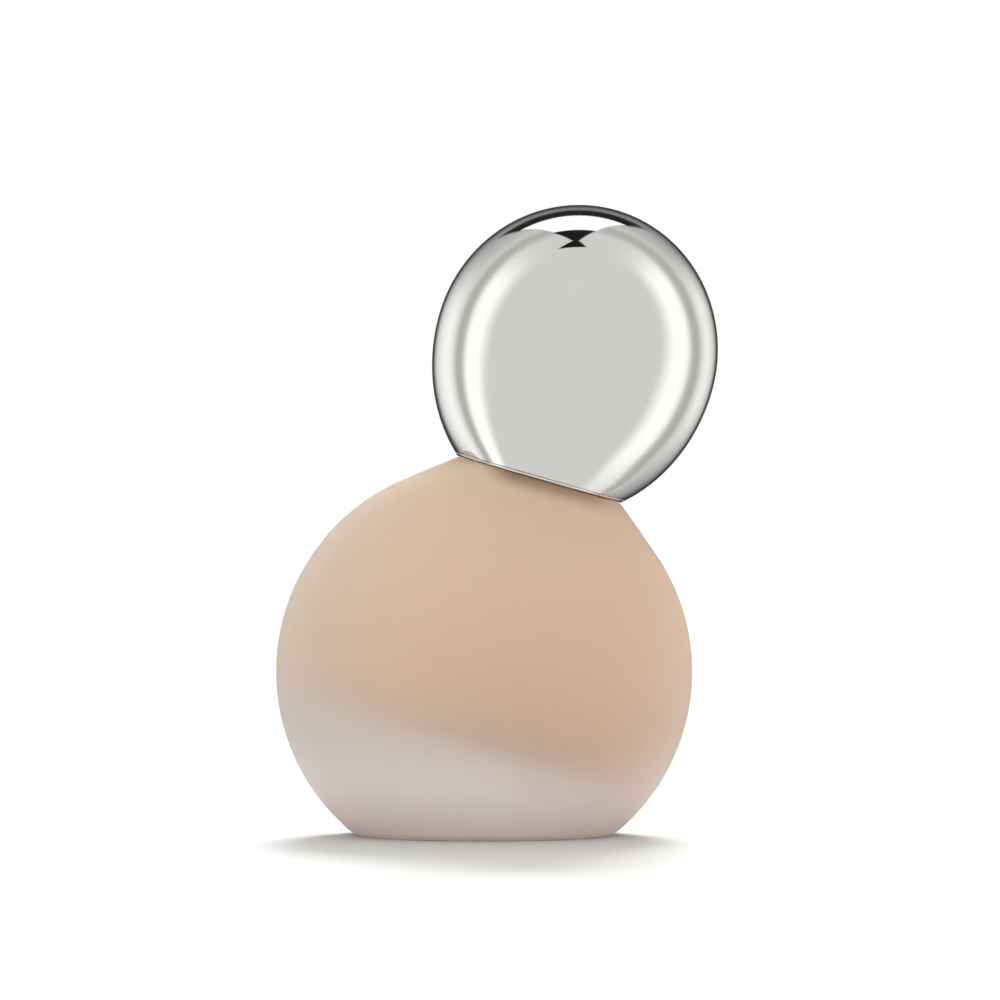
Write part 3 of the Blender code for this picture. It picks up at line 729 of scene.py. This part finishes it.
def frosted_glass():
    """Acid-etched glass, in the tone of the liquid seen through it, paler over the rim and the solid floor.
    Painted light and shade are in the tone: lighter to the upper left, darker to the lower right and over
    the lower rim, brighter over the foot and floor to offset the floor's shadow, and a painted shadow under
    the cap's foot.

    The field is fixed to the piece. It is measured in millimetres from the shoulder and from the base.
    """
    liquid_floor = (-49.0, -34.5)
    rim_reach = (15.0, 34.0)
    middle_along = 30.0
    middle_across = 3.5
    # Painted light and shade: the peach is lighter to the upper left, where the light falls, and darker to
    # the lower right
    peach_lit_upper_left = (0.91, 0.74, 0.545)
    # Painted light: the foot and floor tones are the thick glass's own pale tone, raised to offset the
    # floor's shadow
    peach_shaded_lower_right = (0.84, 0.63, 0.485)
    pale_foot_with_painted_light = (0.93, 0.83, 0.79)
    pale_floor_with_painted_light = (0.93, 0.865, 0.85)
    pale_band = (0.76, 0.705, 0.655)
    # Painted shadow of the cap's foot on the shoulder
    painted_cap_shadow = (0.38, 0.22, 0.14)

    material = new_material("frosted_glass", (0.90, 0.78, 0.68), 0.75, IOR=1.5, Transmission_Weight=0.45)
    shader = material.node_tree.nodes["Principled BSDF"]
    shader.inputs["Sheen Weight"].default_value = 0.06
    shader.inputs["Sheen Roughness"].default_value = 0.5
    shader.inputs["Specular IOR Level"].default_value = 0.3
    tree = material.node_tree
    sums = Sums(tree)
    across, along, height = shoulder_distances(tree, sums)
    cloud = spread(tree, noise(tree, 45, 3), -1.6, 1.6)
    filled = sums.step(sums.math("ADD", along, cloud), *liquid_floor)

    # The rim: distance from the middle of the liquid, shortened towards the neck
    level = sums.math("ADD", along, middle_along)
    upper = sums.math("MAXIMUM", level, 0.0)
    level = sums.math("MULTIPLY_ADD", upper, -0.55, level)
    aside = sums.math("SUBTRACT", across, middle_across)
    squares = sums.math("ADD", sums.math("POWER", aside, 2.0), sums.math("POWER", level, 2.0))
    reach = sums.math("ADD", sums.math("SQRT", squares), cloud)
    rim = sums.step(reach, *rim_reach)
    share = sums.math("MULTIPLY", filled, sums.math("MULTIPLY_ADD", rim, -0.6, 1.0))

    # Painted light and shade: lighter to the upper left, darker to the lower right
    lit_to_shaded_slant = sums.math("SUBTRACT", across, along)
    lit_to_shaded_slant = sums.math("MULTIPLY_ADD", sums.math("ADD", lit_to_shaded_slant, cloud), 1 / 60, 0.05, clamp=True)
    peach = mix_colours(tree, lit_to_shaded_slant, peach_lit_upper_left, peach_shaded_lower_right)
    # Painted light: the pale tones at the foot and over the solid floor are raised to offset the floor's
    # shadow
    low = mix_colours(tree, sums.step(height, 1.0, 8.0), pale_foot_with_painted_light, pale_floor_with_painted_light)
    pale = mix_colours(tree, sums.step(height, 7.0, 18.0), low, pale_band)
    tone = mix_colours(tree, share, pale, peach)

    # Painted shadow: a dark band on the shoulder, under the cap's foot
    from_neck = sums.math("ABSOLUTE", sums.math("SUBTRACT", across, 2.0))
    inner = sums.math("SUBTRACT", 1.0, sums.step(from_neck, 6.0, 12.0))
    cap_shadow_mask = sums.math("MULTIPLY", sums.step(along, -3.0, -0.2), inner)
    tone = mix_colours(tree, sums.math("MULTIPLY", cap_shadow_mask, 0.75), tone, painted_cap_shadow)

    # Darker along the liquid's edge, and painted shade over the lower rim
    edge = sums.math("MULTIPLY", filled, sums.math("SUBTRACT", 1.0, filled))
    shade = sums.math("MULTIPLY_ADD", edge, -0.08, 1.0)
    deep = sums.math("SUBTRACT", 1.0, sums.step(along, -34.0, -20.0))
    lower_rim_shade = sums.math("MULTIPLY_ADD", sums.math("MULTIPLY", rim, deep), -0.05, 1.0)
    shade = sums.math("MULTIPLY", shade, lower_rim_shade)
    scaled = tree.nodes.new("ShaderNodeVectorMath")
    scaled.operation = "SCALE"
    link(tree, tone, scaled.inputs[0])
    link(tree, shade, scaled.inputs["Scale"])
    grain = noise(tree, 2600, 4)
    roughness = spread(tree, grain, 0.70, 0.80)
    finish_material(material, scaled.outputs[0], roughness, bump(tree, grain, 0.00001, 0.4))
    return material


def foundation_peach():
    """Thick pigmented liquid with a barely uneven tone."""
    material = new_material("foundation_peach", (0.90, 0.67, 0.505), 0.5, Subsurface_Weight=0.25)
    shader = material.node_tree.nodes["Principled BSDF"]
    shader.inputs["Subsurface Radius"].default_value = (1.0, 0.5, 0.25)
    shader.inputs["Subsurface Scale"].default_value = 0.002
    tree = material.node_tree
    cloud = noise(tree, 38, 3, (1, 1, 1.6))
    colour = two_colours(tree, cloud, (0.88, 0.66, 0.50), (0.92, 0.68, 0.51))
    finish_material(material, colour, spread(tree, noise(tree, 160, 2), 0.45, 0.55))
    return material


def mirror_silver():
    """Metallised and lacquered: a clean, very slightly uneven mirror, much darker at a grazing angle."""
    grazing = (0.06, 0.06, 0.06, 1)
    material = new_material("mirror_silver", (0.93, 0.93, 0.925), 0.03, 1.0, Specular_Tint=grazing)
    tree = material.node_tree
    haze = noise(tree, 120, 4)
    colour = two_colours(tree, noise(tree, 60, 3), (0.925, 0.925, 0.918), (0.94, 0.94, 0.936))
    roughness = spread(tree, haze, 0.02, 0.05)
    finish_material(material, colour, roughness, bump(tree, noise(tree, 90, 2), 0.000004, 0.3))
    return material


def brushed_aluminium():
    """Turned and anodised aluminium, with fine lines round the axis."""
    material = new_material("brushed_aluminium", (0.80, 0.80, 0.80), 0.2, 1.0)
    tree = material.node_tree
    lines = noise(tree, 900, 3, (0.02, 0.02, 6))
    colour = two_colours(tree, lines, (0.76, 0.76, 0.765), (0.84, 0.84, 0.84))
    finish_material(material, colour, spread(tree, lines, 0.14, 0.26), bump(tree, lines, 0.00001, 0.35))
    return material


def plastic(name, first, second, roughness, grain=700, depth=0.00001, **inputs):
    material = new_material(name, first, roughness, **inputs)
    tree = material.node_tree
    fine = noise(tree, grain, 4)
    colour = two_colours(tree, noise(tree, 70, 3), first, second)
    uneven = spread(tree, fine, roughness - 0.05, roughness + 0.07)
    finish_material(material, colour, uneven, bump(tree, fine, depth, 0.4))
    return material


def spring_steel():
    material = new_material("spring_steel", (0.62, 0.62, 0.63), 0.25, 1.0)
    tree = material.node_tree
    streaks = noise(tree, 500, 4)
    colour = two_colours(tree, streaks, (0.55, 0.55, 0.56), (0.70, 0.70, 0.71))
    finish_material(material, colour, spread(tree, streaks, 0.18, 0.34))
    return material


def clear_glass():
    material = new_material("clear_glass", (0.95, 0.98, 0.98), 0.03, IOR=1.5, Transmission_Weight=1.0)
    tree = material.node_tree
    finish_material(material, None, spread(tree, noise(tree, 900, 2), 0.01, 0.05))
    return material


def make_materials():
    return {
        "frosted_glass": frosted_glass(),
        "foundation_peach": foundation_peach(),
        "mirror_silver": mirror_silver(),
        "brushed_aluminium": brushed_aluminium(),
        "white_plastic": plastic("white_plastic", (0.86, 0.855, 0.83), (0.90, 0.895, 0.875), 0.34),
        "natural_plastic": plastic(
            "natural_plastic", (0.78, 0.78, 0.75), (0.84, 0.84, 0.81), 0.4, 500, Subsurface_Weight=0.2
        ),
        "gasket_foam": plastic("gasket_foam", (0.80, 0.80, 0.77), (0.88, 0.88, 0.86), 0.8, 1800, 0.00006),
        "spring_steel": spring_steel(),
        "clear_glass": clear_glass(),
    }


# ---------------------------------------------------------------- studio


class Sums:
    """Short names for the math nodes of one tree."""

    def __init__(self, tree):
        self.tree = tree

    def math(self, operation, *values, clamp=False):
        node = self.tree.nodes.new("ShaderNodeMath")
        node.operation = operation
        node.use_clamp = clamp
        for socket, value in zip(node.inputs, values):
            if isinstance(value, (int, float)):
                socket.default_value = value
            else:
                link(self.tree, value, socket)
        return node.outputs[0]

    def step(self, value, low, high):
        """0 below low, 1 above high and smooth between."""
        node = self.tree.nodes.new("ShaderNodeMapRange")
        node.interpolation_type = "SMOOTHSTEP"
        node.inputs["From Min"].default_value = low
        node.inputs["From Max"].default_value = high
        link(self.tree, value, node.inputs["Value"])
        return node.outputs["Result"]

    def band(self, value, low, high, soft):
        """1 between low and high, with soft edges."""
        up = self.step(value, low - soft, low + soft)
        down = self.step(value, high - soft, high + soft)
        return self.math("SUBTRACT", up, down)

    def blend(self, first, second, share):
        """first where share is 0, second where it is 1."""
        change = self.math("SUBTRACT", second, first)
        return self.math("MULTIPLY_ADD", change, share, first)


def studio_light(sums, direction):
    """Brightness of the studio's cards as a mirror sees them, by direction. The front is -Y.

    The lower cards are rings by the angle from the front, in degrees. The roof's cards lie in a level plane
    one unit above, at over_x and over_y.
    """
    card = 0.645
    split = sums.tree.nodes.new("ShaderNodeSeparateXYZ")
    link(sums.tree, direction, split.inputs["Vector"])
    x, y, z = split.outputs
    front = sums.math("MULTIPLY", y, -1.0)
    degrees = sums.math("MULTIPLY", sums.math("ARCCOSINE", front), 180 / math.pi)
    off_axis = sums.math("SQRT", sums.math("SUBTRACT", 1.0, sums.math("POWER", y, 2.0)))
    away = sums.math("MAXIMUM", off_axis, 0.01)
    rise = sums.math("DIVIDE", z, away)
    steep = sums.math("ABSOLUTE", rise)

    # The rings close in near the floor and stretch on the left, but only ahead of the bottle
    sunk = sums.math("MULTIPLY", sums.step(sums.math("MULTIPLY", rise, -1.0), 0.60, 0.92), 24.0)
    ahead = sums.math("SUBTRACT", 1.0, sums.step(degrees, 95, 135))
    degrees = sums.math("MULTIPLY_ADD", sums.math("MULTIPLY", sunk, ahead), -1.0, degrees)
    beyond = sums.math("MAXIMUM", sums.math("SUBTRACT", degrees, 52.0), 0.0)
    leftward = sums.math("MULTIPLY", sums.math("MAXIMUM", sums.math("MULTIPLY", x, -0.22), 0.0), ahead)
    degrees = sums.math("MULTIPLY_ADD", beyond, leftward, degrees)

    beside = sums.math("SUBTRACT", 1.0, sums.step(steep, 0.50, 0.97))
    level = sums.math("MULTIPLY", sums.band(degrees, 56, 80, 8), beside)
    level = sums.blend(card, 1.08, level)
    level = sums.blend(level, 0.46, sums.band(degrees, 83, 97, 6))
    outer = sums.blend(1.02, 0.52, sums.step(steep, 0.25, 0.78))
    level = sums.blend(level, outer, sums.step(degrees, 92, 116))
    level = sums.blend(level, 0.50, sums.band(degrees, 145, 160, 7))
    level = sums.blend(level, card, sums.step(degrees, 152, 172))

    # The roof: a lamp, and a dark card behind it
    height = sums.math("MAXIMUM", z, 0.02)
    plane_x = sums.math("DIVIDE", x, height)
    over_x = sums.math("ABSOLUTE", sums.math("ADD", plane_x, 0.045))
    over_y = sums.math("DIVIDE", y, height)
    half = sums.math("MULTIPLY_ADD", over_y, 0.45, 0.24)
    roof = sums.step(sums.math("SUBTRACT", half, over_x), -0.02, 0.02)
    lamp = sums.math("MULTIPLY", roof, sums.band(over_y, -0.09, 0.48, 0.02))
    half = sums.math("MULTIPLY_ADD", over_y, 0.35, 0.32)
    dark = sums.step(sums.math("SUBTRACT", half, over_x), -0.05, 0.05)
    deep = sums.math("SUBTRACT", sums.step(over_y, 0.44, 0.48), sums.step(over_y, 0.78, 1.20))
    dark = sums.math("MULTIPLY", dark, deep)
    level = sums.blend(level, 0.02, dark)
    level = sums.blend(level, 1.15, lamp)

    # The gap between the cards, narrow at its waist and wide at both ends
    past = sums.math("ADD", over_y, 0.40)
    before = sums.math("MINIMUM", past, 0.0)
    half = sums.math("MAXIMUM", sums.math("MULTIPLY", past, 0.55), sums.math("MULTIPLY", past, -0.75))
    aside = sums.math("MULTIPLY_ADD", before, -0.3, sums.math("ADD", plane_x, 0.055))
    aside = sums.math("ABSOLUTE", aside)
    inside = sums.step(sums.math("SUBTRACT", sums.math("ADD", half, 0.035), aside), -0.012, 0.012)
    gap = sums.math("MULTIPLY", inside, sums.band(over_y, -0.58, -0.09, 0.012))
    return sums.blend(level, 0.01, gap)


def make_world():
    """Mirrors see the studio's cards. All else is lit softly from above, from the front and from behind."""
    world = bpy.data.worlds.new("studio")
    bpy.context.scene.world = world
    world.use_nodes = True
    tree = world.node_tree
    sums = Sums(tree)
    background = tree.nodes["Background"]
    coords = tree.nodes.new("ShaderNodeTexCoord")
    direction = coords.outputs["Generated"]
    cards = studio_light(sums, direction)
    split = tree.nodes.new("ShaderNodeSeparateXYZ")
    link(tree, direction, split.inputs["Vector"])
    lean = math.radians(14)
    towards = tree.nodes.new("ShaderNodeVectorMath")
    towards.operation = "DOT_PRODUCT"
    towards.inputs[1].default_value = (0, math.sin(lean), math.cos(lean))
    link(tree, direction, towards.inputs[0])
    lobe = sums.math("POWER", sums.math("MAXIMUM", towards.outputs["Value"], 0.0), 6.0)
    sides = sums.math("MULTIPLY_ADD", sums.math("POWER", split.outputs[1], 4.0), 0.82, 0.49)
    soft = sums.math("MULTIPLY_ADD", lobe, 2.3, sides)
    paths = tree.nodes.new("ShaderNodeLightPath")
    light = sums.blend(soft, cards, paths.outputs["Is Glossy Ray"])
    light = sums.blend(light, 1.0, paths.outputs["Is Camera Ray"])
    tone = tree.nodes.new("ShaderNodeMix")
    tone.data_type = "RGBA"
    tone.inputs["A"].default_value = (1.0, 0.998, 0.972, 1)
    tone.inputs["B"].default_value = (1.0, 1.0, 0.992, 1)
    link(tree, paths.outputs["Is Camera Ray"], tone.inputs["Factor"])
    link(tree, tone.outputs["Result"], background.inputs["Color"])
    link(tree, light, background.inputs["Strength"])


def make_floor():
    """A plain pale floor, and a soft lamp that lights only the floor and lays the shadow forward."""
    half = 4.0
    mesh = bpy.data.meshes.new("floor")
    corners = [(-half, -half, 0), (half, -half, 0), (half, half, 0), (-half, half, 0)]
    mesh.from_pydata(corners, [], [(0, 1, 2, 3)])
    floor = bpy.data.objects.new("floor", mesh)
    bpy.context.scene.collection.objects.link(floor)
    material = new_material("floor_paper", (0.60, 0.597, 0.59), 0.9)
    shader = material.node_tree.nodes["Principled BSDF"]
    shader.inputs["Specular IOR Level"].default_value = 0.0
    shader.inputs["Emission Color"].default_value = (1, 1, 0.99, 1)
    shader.inputs["Emission Strength"].default_value = 0.04
    mesh.materials.append(material)
    floor.visible_glossy = False

    lamp = bpy.data.lights.new("floor_lamp", "SUN")
    lamp.energy = 4.4
    lamp.angle = math.radians(30)
    obj = bpy.data.objects.new("floor_lamp", lamp)
    obj.rotation_euler = (-math.radians(40), 0, -math.radians(6))
    bpy.context.scene.collection.objects.link(obj)
    lit = bpy.data.collections.new("lit_by_floor_lamp")
    lit.objects.link(floor)
    obj.light_linking.receiver_collection = lit


def make_camera():
    """A lens close to the bottle and level with its middle."""
    distance = 0.64
    height = 0.055
    frame_width = 0.158
    target = Vector((0.0025, 0, 0.0529))
    camera = bpy.data.cameras.new("camera")
    camera.sensor_width = 36
    camera.lens = 36 * distance / frame_width
    camera.clip_start = 0.05
    camera.clip_end = 30
    obj = bpy.data.objects.new("camera", camera)
    bpy.context.scene.collection.objects.link(obj)
    obj.location = (target.x, -distance, height)
    obj.rotation_euler = (target - obj.location).to_track_quat("-Z", "Y").to_euler()
    bpy.context.scene.camera = obj
    bpy.context.scene.view_settings.view_transform = "Standard"


# ---------------------------------------------------------------- assembly

MATERIALS = make_materials()
make_bottle()
thread_ridge("neck_thread", NECK_R, 8.8, 1.7, 0.7, 3.7, "bottle", "frosted_glass")
make_liquid()
make_cap_shell("cap_front_half", -1, "cap_front_shell")
make_cap_shell("cap_rear_half", 1, "cap_rear_shell")
make_cap_ring()
make_cap_core()
make_closure()
make_pump_body()
make_dip_tube()
make_spring()
make_seal_and_stem()
make_actuator()
make_world()
make_floor()
make_camera()
